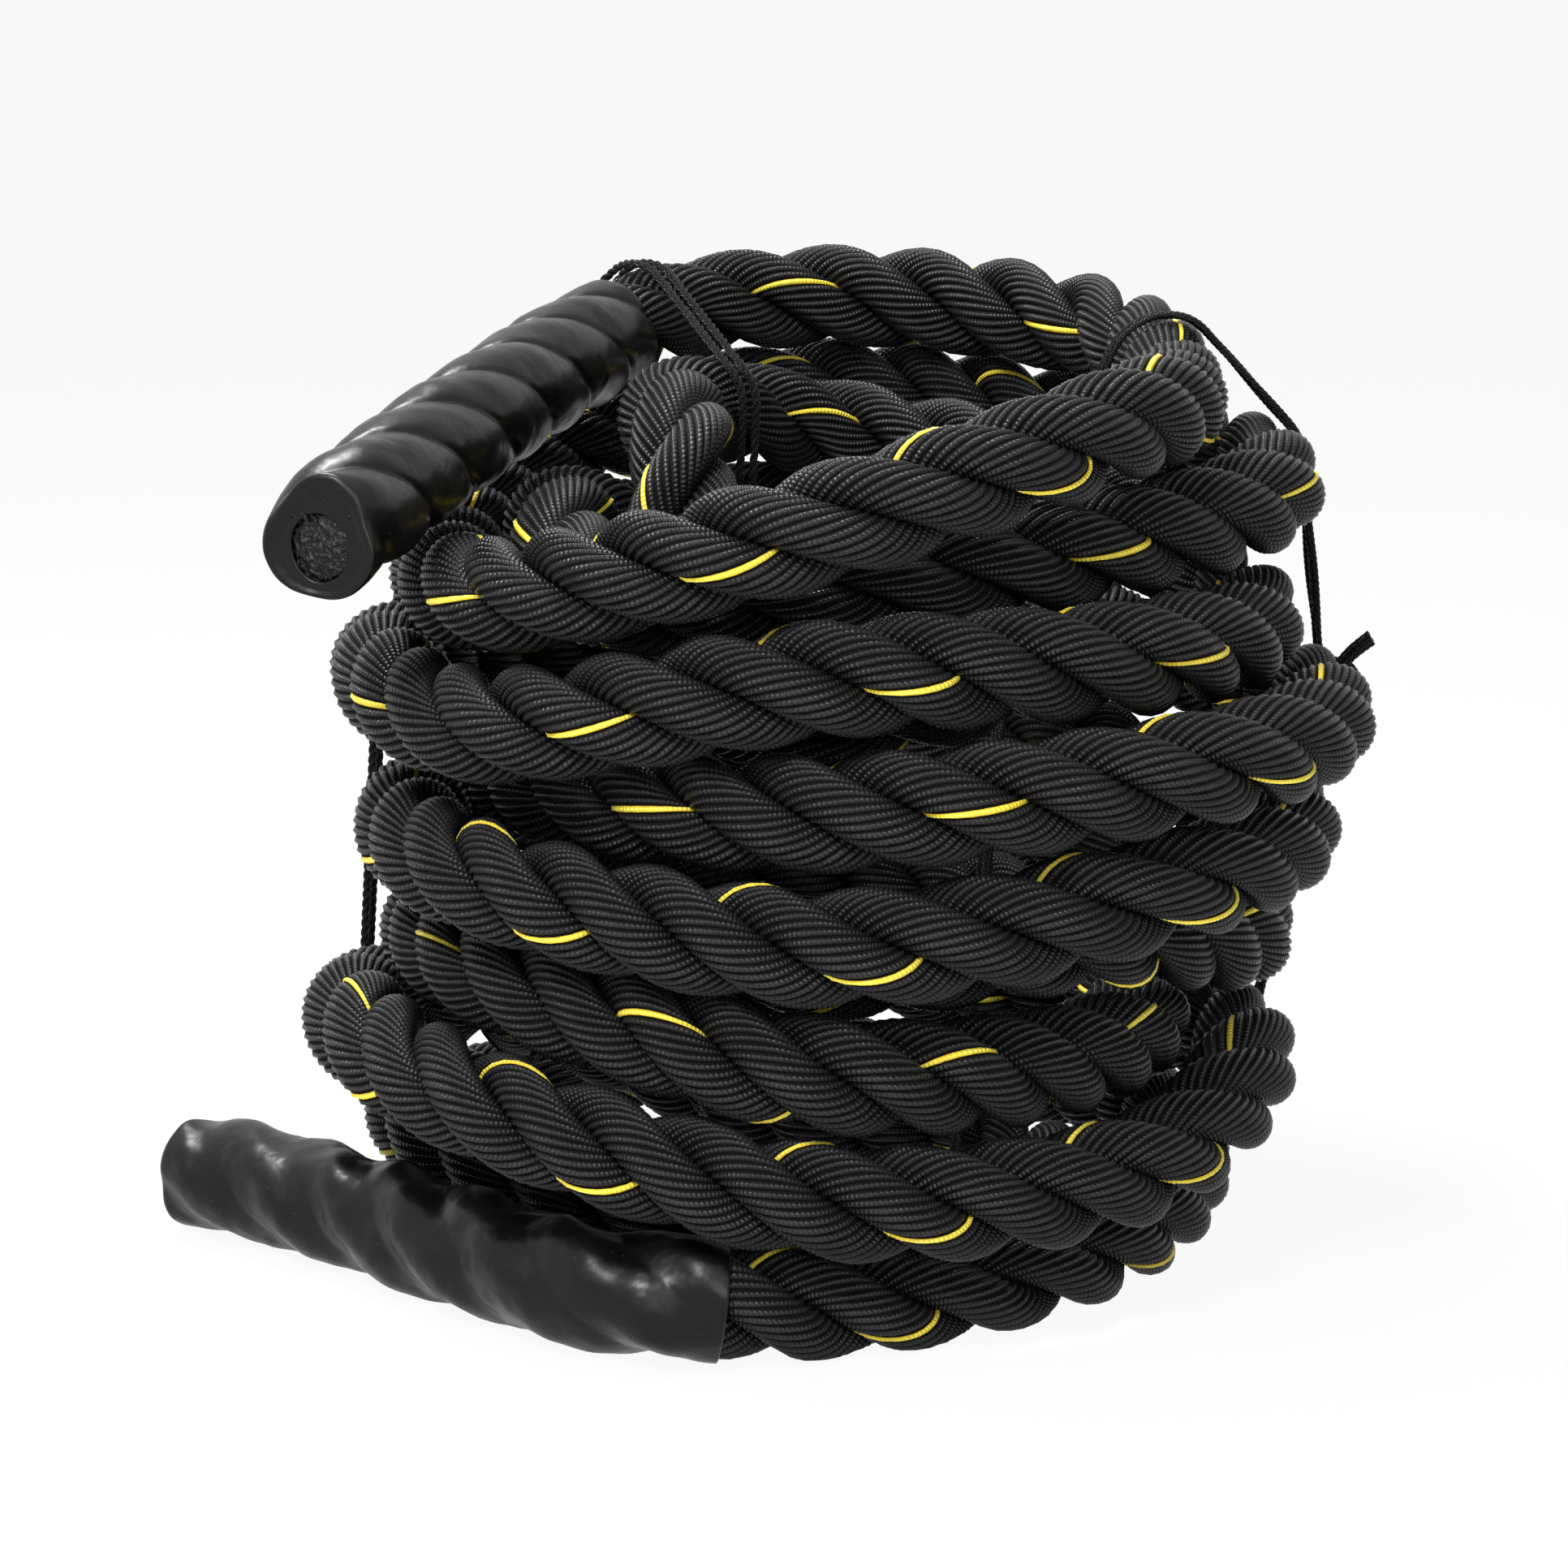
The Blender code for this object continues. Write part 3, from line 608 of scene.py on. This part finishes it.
def grip_frame(lengths, from_lower_end):
    """The middle, the outward axes and the strands' turn at lengths from an end of the rope."""
    along = rope_length - lengths if from_lower_end else lengths
    values = np.column_stack([rope_points, rope_sides, np.cross(rope_ahead, rope_sides)])
    rows = np.stack([np.interp(along, rope_lengths, column) for column in values.T], axis=1)
    return rows[:, :3], rows[:, 3:6], rows[:, 6:], np.interp(along, rope_lengths, lay_turns)


def skin(name, rings, closed):
    """A mesh piece from rings of points.  The last ring joins the first, or both ends close."""
    count, around = rings.shape[:2]
    steps = np.arange(count if closed else count - 1)[:, None] * around
    column = np.arange(around)
    after = (column + 1) % around
    over = (steps + around) % (count * around)
    faces = np.stack([steps + column, steps + after, over + after, over + column], axis=2)
    work = bmesh.new()
    mesh = bpy.data.meshes.new(name)
    mesh.from_pydata(rings.reshape(-1, 3), [], faces.reshape(-1, 4).tolist())
    work.from_mesh(mesh)
    if not closed:
        bmesh.ops.holes_fill(work, edges=work.edges)
    bmesh.ops.recalc_face_normals(work, faces=work.faces)
    work.to_mesh(mesh)
    work.free()
    mesh.shade_smooth()
    return placed(name, mesh)


def downhill(direction):
    """The way down in the plane that a direction stands on."""
    return unit(direction * direction[2] - up)


def sleeve_skin(name, grip_length, from_lower_end, shoulder, dent, dent_run, lean,
                drop, softness):
    """A sleeve from its mouth over the shoulder to the opening, and back inside to its mouth.
    Its film is thinner than the CAD's wall, which leaves the dents room.
    """
    turn = np.arange(columns_round) * math.tau / columns_round
    from_crown = (turn + math.pi / 3) % (math.tau / 3) - math.pi / 3
    end_run, lean_run, dish = 0.014, 0.03, 0.0006
    fine_dents, fine_share = 2.3, 0.35

    def lobes(lengths):
        """The outer radius all round the rope, at lengths from its end."""
        from_end = np.ravel(lengths)[:, None]
        crease = crease_depth * np.exp(-((math.pi / 3 - abs(from_crown)) / crease_width)**2)
        ridged = (lobe_height * np.cos(from_crown)
                  + np.sqrt((lobe_crown - lobe_height)**2
                            - (lobe_height * np.sin(from_crown))**2) - crease)
        waved = lobe_crown - wave_depth * np.sin(1.5 * from_crown)**2
        ridged += softness * (waved - ridged)
        corner = lobe_crown - end_lobe_height
        round_part = (end_lobe_height * np.cos(from_crown)
                      + np.sqrt(corner**2 - (end_lobe_height * np.sin(from_crown))**2))
        flat_part = (end_lobe_height / 2 + corner) / np.cos(math.pi / 3 - abs(from_crown))
        turned = math.atan2(corner * math.sin(math.pi / 3),
                            end_lobe_height + corner * math.cos(math.pi / 3))
        bridged = np.where(abs(from_crown) < turned, round_part, flat_part)
        near = np.exp(-(from_end / end_run)**2)
        return bridged * near + ridged * (1 - near)

    # The outside from the mouth, the shoulder, the face and the lip of the opening, which is
    # not quite round; then the same stretches inside, a film away, and the edge of the mouth
    opening = opening_radius * (1 + 0.05 * np.cos(2 * turn + 1))
    run = np.arange(grip_length - film / 2, shoulder, -sleeve_ring_step)
    bend = np.linspace(0, math.pi / 2, 9)[:, None]
    face = np.linspace(0, 1, 14)[1:, None]
    lip = np.linspace(0, math.pi, 6)[1:-1, None]
    bend_run = shoulder * (1 - np.sin(bend[:, 0]))
    face_run = dish * np.sin(face[:, 0] * math.pi)**2
    face_radii = (lobes(0) - shoulder) * (1 - face) + opening * face
    stretches = (
        (run, lobes(run)),
        (bend_run, lobes(bend_run) - shoulder * (1 - np.cos(bend))),
        (face_run, face_radii),
        (film / 2 * (1 - np.cos(lip[:, 0])), opening - film / 2 * np.sin(lip)),
        (film + face_run[::-1], face_radii[::-1]),
        (film + (shoulder - film) * (1 - np.sin(bend[::-1, 0])),
         lobes(bend_run[::-1]) - film - (shoulder - film) * (1 - np.cos(bend[::-1]))),
        (run[::-1], lobes(run[::-1]) - film),
        (grip_length - film / 2 + film / 2 * np.sin(lip[:, 0]),
         lobes(grip_length) - film / 2 * (1 + np.cos(lip))))
    lengths, radii = (np.concatenate(parts) for parts in zip(*stretches))

    # Round the rope, dented by noise; near the end its face leans and its opening drops
    middles, sides, crosses, turns = grip_frame(lengths, from_lower_end)
    angles = (turn + math.tau * turns[:, None])[:, :, None]
    outward = np.cos(angles) * sides[:, None] + np.sin(angles) * crosses[:, None]
    rings = middles[:, None] + radii[:, :, None] * outward
    swell = np.array([[noise.noise(Vector(place / dent_run)) + fine_share * noise.noise(
        Vector(place / dent_run * fine_dents)) for place in ring] for ring in rings])
    rings += dent * swell[:, :, None] * outward
    inward = unit(middles[lengths.argmax()] - middles[lengths.argmin()])
    near_end = np.clip(1 - lengths / lean_run, 0, 1)[:, None, None]
    rings += near_end * lean * radii[:, :, None] * outward[:, :, 2:] * inward
    rings += near_end * drop * (1 - radii / lobe_crown)[:, :, None] * downhill(inward)
    return skin(name, rings, closed=True)


def fused_end(name, from_lower_end, lean, drop):
    """The rope's cut end behind the opening, melted into a lumpy plug."""
    lump_height, lump_run = 0.0006, 0.0024
    fine_height, fine_run = 0.0004, 0.0011
    depth, rim_drop, plug_run, plug_radius = 0.0012, 0.0013, 0.003, opening_radius * 1.12
    share = np.linspace(0.02, 1, 34)[:, None]
    turn = np.linspace(0, math.tau, 96, endpoint=False)
    middles, sides, crosses, turns = grip_frame(np.array([depth, 0.010]), from_lower_end)
    inward = unit(middles[1] - middles[0])
    outward = np.cos(turn)[:, None] * sides[0] + np.sin(turn)[:, None] * crosses[0]
    centre = middles[0] + drop * (1 - opening_radius / lobe_crown) * downhill(inward)
    tilted = outward + lean * outward[:, 2:] * inward
    disc = centre + plug_radius * share[:, :, None] * tilted
    lumps = np.array([[lump_height * noise.noise(Vector(place / lump_run))
                       + fine_height * noise.noise(Vector(place / fine_run))
                       for place in ring] for ring in disc])
    disc += (rim_drop * share**4 - lumps)[:, :, None] * inward
    back = disc[-1] + plug_run * inward
    return skin(name, np.concatenate([disc, back[None]]), closed=False)


def shrunk_plastic(name):
    """Heat-shrink polyolefin: black and satin, with a soft broad shine, fine wrinkles that the
    shrinking left and a dusting of scuffs.
    """
    material, tree = new_material(name)
    place = add(tree, "ShaderNodeTexCoord").outputs["Object"]
    wrinkles = add(tree, "ShaderNodeTexNoise", {"Vector": place, "Scale": 420, "Detail": 4})
    ripples = add(tree, "ShaderNodeTexNoise", {"Vector": place, "Scale": 95, "Detail": 2})
    scuffs = add(tree, "ShaderNodeTexNoise", {"Vector": place, "Scale": 900, "Detail": 2})
    specks = add(tree, "ShaderNodeMapRange", {
        "Value": scuffs, "From Min": 0.71, "From Max": 0.78})
    bump = add(tree, "ShaderNodeBump", {
        "Strength": 0.8, "Distance": 0.0008, "Height": ripples})
    bump = add(tree, "ShaderNodeBump", {
        "Strength": 0.25, "Distance": 0.0002, "Height": wrinkles, "Normal": bump})
    colour = add(tree, "ShaderNodeMix", {
        0: specks, 6: linear("#080809"), 7: linear("#3A3A3A")}, data_type="RGBA").outputs[2]
    rough = add(tree, "ShaderNodeMapRange", {"Value": ripples, "To Min": 0.20, "To Max": 0.46})
    shader = add(tree, "ShaderNodeBsdfPrincipled", {
        "Base Color": colour, "Roughness": rough, "IOR": 1.5, "Specular IOR Level": 0.25,
        "Normal": bump})
    add(tree, "ShaderNodeOutputMaterial", {"Surface": shader})
    return material


def melted_yarn(name):
    """Polyester yarn melted at the cut: a dark lumpy crust with painted glints on half-melted
    threads.
    """
    material, tree = new_material(name)
    place = add(tree, "ShaderNodeTexCoord").outputs["Object"]
    crust = add(tree, "ShaderNodeTexNoise", {"Vector": place, "Scale": 700, "Detail": 5})
    threads = add(tree, "ShaderNodeTexVoronoi", {"Vector": place, "Scale": 900},
                  feature="DISTANCE_TO_EDGE")
    # Painted glints: lighter grey on the crust's high spots, standing in for highlights.
    painted_glints = add(tree, "ShaderNodeMapRange", {
        "Value": crust, "From Min": 0.55, "From Max": 0.72})
    bump = add(tree, "ShaderNodeBump", {"Strength": 1.0, "Distance": 0.0007, "Height": crust})
    bump = add(tree, "ShaderNodeBump", {
        "Strength": 0.6, "Distance": 0.0004, "Height": threads, "Normal": bump})
    colour = add(tree, "ShaderNodeMix", {
        0: painted_glints, 6: linear("#050505"), 7: linear("#4A4A48")}, data_type="RGBA").outputs[2]
    shader = add(tree, "ShaderNodeBsdfPrincipled", {
        "Base Color": colour, "Roughness": 0.38, "IOR": 1.5, "Specular IOR Level": 0.25,
        "Normal": bump})
    add(tree, "ShaderNodeOutputMaterial", {"Surface": shader})
    return material


black_sleeve = shrunk_plastic("black_heat_shrink")
black_crust = melted_yarn("melted_rope_end")
# Shoulder: the radius of the end's edge.  Dent and dent run: how deep and broad the dents are.
# Lean and drop: of the end's face.  Softness: from the strands' ridges to a soft wave.
for end, grip_length, from_lower_end, shoulder, dent, dent_run, lean, drop, softness in (
        ("upper", upper_grip_length, False, 0.0018, 0.0007, 0.016, 0.22, 0.006, 0.0),
        ("lower", lower_grip_length, True, 0.0028, 0.0014, 0.017, 0.05, 0.0, 0.85)):
    sleeve = sleeve_skin(end + "_grip_sleeve_skin", grip_length, from_lower_end, shoulder,
                         dent, dent_run, lean, drop, softness)
    sleeve.data.materials.append(black_sleeve)
    press_on_floor(sleeve.data)
    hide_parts(end + "_grip_sleeve")
    plug = fused_end(end + "_fused_end", from_lower_end, lean, drop)
    plug.data.materials.append(black_crust)
    for piece, slot in ((sleeve, "grip_sleeve"), (plug, "rope")):
        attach(piece, "root")


# ------------------------------ the ties
# Two ties hold the coil.  A thin three-strand cord is wound twice round its left side, and a
# flat bundle of loose yarns once round its right side; each is knotted on the hidden side.
tie_cord_diameter = 0.003
tie_strand_width = 0.008
tie_strand_thickness = 0.0032
tie_wrap_gap = 0.0022
tie_tail_length = 0.018
tie_points_per_loop = 40
tail_points = 3
tie_lay = 0.0108
tie_yarn_turns = 1.8
tie_yarns, band_yarns, band_ribs = 6, 5, 4

# Where each tie crosses the coil: degrees from the back round to the right, at directions in
# degrees round the bundle of turns, from outward over the top, inward and underneath
left_tie_crossings = ((10, -70), (15, -50), (36, -50), (42, -29), (90, -28), (150, -24),
                      (178, -24), (187, -31), (194, -66))
right_tie_crossings = ((-8, 62), (0, 76), (163, 76), (170, 62))


def tie_loop(crossings, knot_direction, width, thickness):
    """A tie's loop, pulled tight over the turns: its points, the way outward from the bundle
    at each, and the way along the turns there.
    """
    middle = rope_points[past_sleeves > 0] - axis
    rope_radius = rope_diameter / 2
    lift = thickness / 2 + 2 * fit_clearance
    directions = knot_direction + np.arange(tie_points_per_loop) * 360 / tie_points_per_loop
    angles = np.interp(directions, *np.transpose(crossings), period=360)
    rows = []
    for direction, angle in zip(np.radians(directions), np.radians(angles)):
        outward = np.array([math.sin(angle), math.cos(angle), 0])
        along = np.array([math.cos(angle), -math.sin(angle), 0])
        normal = outward * math.cos(direction) + up * math.sin(direction)
        aside = np.clip(np.abs(middle @ along) - width / 2, 0, rope_radius)
        reach = np.sqrt(rope_radius**2 - aside**2)
        bearing = np.where((aside < rope_radius) & (middle @ outward > 0),
                           middle @ normal + reach, -math.inf)
        best = bearing.argmax()
        point = middle[best] - along * (middle[best] @ along) + normal * (reach[best] + lift)
        point[2] = max(point[2], (thickness + fit_clearance) / 2)
        if not rows or np.linalg.norm(point - rows[-1][0]) >= thickness:
            rows.append((point, normal, along))
    return np.array(rows).swapaxes(0, 1)


def tie_winding(points, normals, alongs, wraps, spacing):
    """The loop wound a number of times, each wrap beside the last, with a loose tail each end:
    its points, and the way outward from the bundle at each.
    """
    ahead = unit(np.roll(points, -1, axis=0) - points)
    stretch = 1 / np.sqrt(1 - (ahead * alongs).sum(axis=1, keepdims=True)**2)
    sideways = alongs * (stretch + np.roll(stretch, 1, axis=0)) / 2
    count = wraps * len(points)
    number = np.arange(count + 1)
    place = number % len(points)
    shifts = (number / count - 1 / 2) * wraps * spacing
    winding = points[place] + sideways[place] * shifts[:, None]
    onward = unit(ahead[0] + ahead[-1])
    steps = np.linspace(0, 1, tail_points + 1)[1:, None]
    run = steps * tie_tail_length
    tail_rise, tail_lean = 0.65, 0.4
    rise = run * steps * tail_rise * normals[0]
    lean = run * tail_lean * alongs[0]
    first_tail = winding[0] - run * onward + rise - lean
    last_tail = winding[-1] + run * onward + rise + lean
    tail_normals = np.repeat(normals[:1], tail_points, axis=0)
    return (np.concatenate([first_tail[::-1], winding, last_tail]),
            np.concatenate([tail_normals, normals[place], tail_normals]))


def joined(name, strands, yarns):
    """Several strands as one piece, with their yarns mapped."""
    work = bmesh.new()
    for strand in strands:
        map_yarns(strand.data, yarns)
        work.from_mesh(strand.data)
    mesh = bpy.data.meshes.new(name)
    work.to_mesh(mesh)
    work.free()
    mesh.shade_smooth()
    mesh.materials.append(strands[0].data.materials[0])
    for strand in strands:
        bpy.data.objects.remove(strand)
    return placed(name, mesh)


def line_frame(points, normals, step, rounding=0.006):
    """A line at even steps with its corners rounded, its way ahead and a way sideways."""
    lengths, rows = even_points(points, step, normals)
    reach = round(rounding / step / 2)
    kernel = np.ones(2 * reach + 1) / (2 * reach + 1)
    padded = np.pad(rows, ((reach, reach), (0, 0)), mode="edge")
    rows = np.stack([np.convolve(column, kernel, mode="valid") for column in padded.T], axis=1)
    line = rows[:, :3]
    ahead = unit(np.gradient(line, axis=0))
    return along_line(line), line, ahead, unit(np.cross(ahead, rows[:, 3:]))


def thin_cord(name, points, normals, diameter):
    """A laid cord of three small strands that follows a line."""
    lengths, line, ahead, sides = line_frame(points, normals, diameter / 3, diameter)
    turns = lengths / (tie_lay * diameter / tie_cord_diameter)
    ends = np.minimum(lengths, lengths[-1] - lengths)
    attributes = {"ahead": ahead, "side": steady_sides(line, ahead, sides[0]), "turns": turns,
                  "yarn_turns": turns * tie_yarn_turns, "along": lengths,
                  "thickness": np.clip(0.7 + ends / diameter, 0, 1)}
    strands = [made_by(strand_tree, f"{name}_{number}", line, attributes, {
        "Start turn": number / 3, "Centre": diameter * 0.27, "Radius": diameter * 0.255,
        "Yarns": tie_yarns, "Groove": diameter * 0.02, "Material": tie_yarn})
        for number in range(3)]
    return joined(name, strands, tie_yarns)


def loose_band(name, points, normals, width, thickness):
    """Loose twisted yarns side by side that wander a little across each other."""
    lengths, line, ahead, across = line_frame(points, normals, 0.0010)
    outward = np.cross(across, ahead)
    strands = []
    radius = thickness * 0.34
    wander_run, lift_run, twist_run, end_run = 0.085, 0.061, 0.009, 0.004
    spread, waver, stray, lift_share = 0.86, 0.1, 0.0004, 0.13
    for number in range(band_yarns):
        share = 2 * number / (band_yarns - 1) - 1
        wander = np.sin(math.tau * (lengths / wander_run + number * 0.37))
        lift = np.cos(math.tau * (lengths / lift_run + number * 0.61)) * thickness * lift_share
        shift = share * (width / 2 - radius) * (spread + waver * wander) + stray * wander
        course = line + across * shift[:, None] + outward * lift[:, None]
        ends = np.minimum(lengths, lengths[-1] - lengths)
        attributes = {"ahead": ahead, "side": across, "turns": np.zeros(len(line)),
                      "yarn_turns": lengths / twist_run + number * 0.3, "along": lengths,
                      "thickness": np.clip(0.3 + ends / end_run * (1 + number % 2), 0, 1)}
        strands.append(made_by(strand_tree, f"{name}_{number}", course, attributes, {
            "Start turn": 0.0, "Centre": 0.0, "Radius": radius, "Yarns": band_ribs,
            "Groove": radius * 0.2, "Material": tie_yarn}))
    return joined(name, strands, band_ribs)


def knot_line(point, normal, onward, diameter):
    """The line of a knot in which a cord passes three times through itself, its normals, and
    how thick the cord is there.
    """
    cord = diameter * 0.8
    scale = (cord + tie_wrap_gap) / 1.5
    height = 1.4
    turn = np.linspace(0, math.tau, 73)[:, None]
    lift = scale * height + cord / 2 - diameter / 2
    points = point + scale * (
        (np.sin(turn) + 2 * np.sin(2 * turn)) * onward
        + (np.cos(turn) - 2 * np.cos(2 * turn)) * np.cross(normal, onward)
        - np.sin(3 * turn) * height * normal) + normal * lift
    return points, np.repeat(normal[None], len(points), axis=0), cord


# The ties are black polyester like the rope, in finer yarns, with their painted grey sheen a
# little lighter.  Six are drawn round a strand, broader than they are.
tie_yarn = yarn_material("black_tie_yarn", "#010101", "#323234", tie_yarns,
                         bead=0.0010, square_run=0.0, painted_shade_edge=0.0)
for side, crossings, knot_direction, wraps, width, thickness in (
        ("left", left_tie_crossings, 25, 2, tie_cord_diameter, tie_cord_diameter),
        ("right", right_tie_crossings, 0, 1, tie_strand_width, tie_strand_thickness)):
    loop, normals, alongs = tie_loop(crossings, knot_direction, width, thickness)
    onward = unit(loop[1] - loop[-1])
    knot_points, knot_normals, knot_cord = knot_line(loop[0], normals[0], onward, thickness)
    line, ways = tie_winding(loop, normals, alongs, wraps, width + tie_wrap_gap)
    knot = thin_cord(side + "_tie_knot", knot_points + axis, knot_normals, knot_cord)
    if side == "left":
        tie = thin_cord("left_tie_winding", line + axis, ways, width)
        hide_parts("left_tie_cord")
    else:
        tie = loose_band("right_tie_band", line + axis, ways, width, thickness)
        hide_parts("right_tie_strand")
    for piece in (tie, knot):
        press_on_floor(piece.data)
        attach(piece, "root")


# ------------------------------ the studio
# A white sweep under soft boxes: two overhead, of which one stands back, a small bright one
# above the viewer's left shoulder and a wide one in front.
def soft_box(name, place, target, size, power):
    """A rectangular lamp that faces its target."""
    light = bpy.data.lights.new(name, "AREA")
    light.shape = "RECTANGLE"
    light.size, light.size_y = size
    light.energy = power
    box = placed(name, light)
    box.location = place
    away = np.array(place, float) - target
    azimuth = math.atan2(away[0], -away[1])
    box.rotation_euler = (math.acos(away[2] / np.linalg.norm(away)), 0, azimuth)


middle = np.array([0, 0, 0.17])
soft_box("back_box", (-0.50, 0.45, 1.65), middle, (0.45, 0.28), 30)
soft_box("overhead_box", (-0.3, -0.1, 1.6), middle, (0.7, 0.5), 12)
soft_box("key_box", (-0.65, -1.30, 1.55), middle, (0.40, 0.32), 30)
soft_box("front_box", (0.5, -2.1, 1.1), middle, (1.2, 0.9), 14)


def seen_by_viewer(tree):
    """1 for rays that come from the camera, straight, by a shine or through a clear piece."""
    path = add(tree, "ShaderNodeLightPath").outputs
    seen = path["Is Camera Ray"]
    for way in ("Is Glossy Ray", "Is Transmission Ray"):
        seen = add(tree, "ShaderNodeMath", {0: seen, 1: path[way]}, operation="MAXIMUM")
    return seen


# The sweep is white painted board: plain white to the eye, with a faint shadow on it.
floor_material, tree = new_material("white_sweep")
glow = add(tree, "ShaderNodeMath", {0: seen_by_viewer(tree), 1: 0.93}, operation="MULTIPLY")
matt = add(tree, "ShaderNodeBsdfDiffuse", {"Color": linear("#F4F4F4")})
white = add(tree, "ShaderNodeEmission", {"Color": linear("#FFFFFF"), "Strength": 1.0})
mixed = add(tree, "ShaderNodeMixShader", {0: glow, 1: matt, 2: white})
add(tree, "ShaderNodeOutputMaterial", {"Surface": mixed})
bpy.ops.mesh.primitive_plane_add(size=80)
floor = bpy.context.object
floor.name = "studio_floor"
floor.data.materials.append(floor_material)

world = bpy.data.worlds.new("white_studio")
scene.world = world
world.use_nodes = True
tree = world.node_tree
tree.nodes.clear()
strength = add(tree, "ShaderNodeMix", {0: seen_by_viewer(tree), 2: 0.10, 3: 1.0},
               data_type="FLOAT")
backdrop = add(tree, "ShaderNodeBackground", {
    "Color": linear("#FFFFFF"), "Strength": strength})
add(tree, "ShaderNodeOutputWorld", {"Surface": backdrop})
